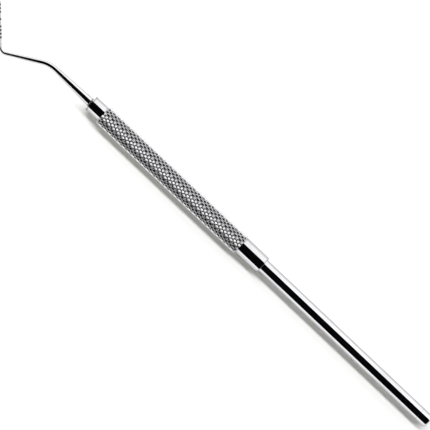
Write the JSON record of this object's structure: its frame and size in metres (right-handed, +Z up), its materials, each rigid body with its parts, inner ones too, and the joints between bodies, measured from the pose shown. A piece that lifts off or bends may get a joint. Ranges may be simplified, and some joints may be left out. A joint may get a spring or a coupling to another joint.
{
  "type": "periodontal probe",
  "caption": "Hand-held dental probe: banded measuring tip on a bent shank that screws into a slim hollow handle with a knurled grip.",
  "frame": {"origin": "Bottom centre of the instrument's box as it rests on a table, on its grip and on the knee of its shank", "axes": "+X along the handle from the measuring tip to the tail, +Z up, +Y to the side that the tip's end points to"},
  "size_m": [0.1624, 0.0102, 0.006],
  "materials": {
    "polished_steel": "polished",
    "knurled_steel": "polished",
    "band_fill": "satin",
    "washer_seal": "satin"
  },
  "bodies": {
    "handle": {"nose_ferrule": "polished_steel", "knurled_sleeve": "knurled_steel", "rear_ferrule": "polished_steel", "stem_tube": "polished_steel", "tail_plug": "polished_steel"},
    "washer": {"seal_washer": "washer_seal"},
    "tip": {"working_end": "polished_steel", "depth_band_1mm": "band_fill", "depth_band_2mm": "band_fill", "depth_band_3mm": "band_fill", "depth_band_5mm": "band_fill", "depth_band_7mm": "band_fill", "depth_band_8mm": "band_fill", "depth_band_9mm": "band_fill", "depth_band_10mm": "band_fill"}
  },
  "joints": [
    {"name": "stud_travel", "type": "slide", "parent": "handle", "child": "washer", "axis": [-1, 0, 0], "range_m": [0, 0.0032]},
    {"name": "stud_turn", "type": "hinge", "parent": "washer", "child": "tip", "pos_m": [-0.04439, 0.00184, 0.003], "axis": [-1, 0, 0], "range_deg": [0, 2881]}
  ],
  "couplings": [
    {"joint": "stud_turn", "follows": "stud_travel", "rad_per_m": 15708}
  ]
}
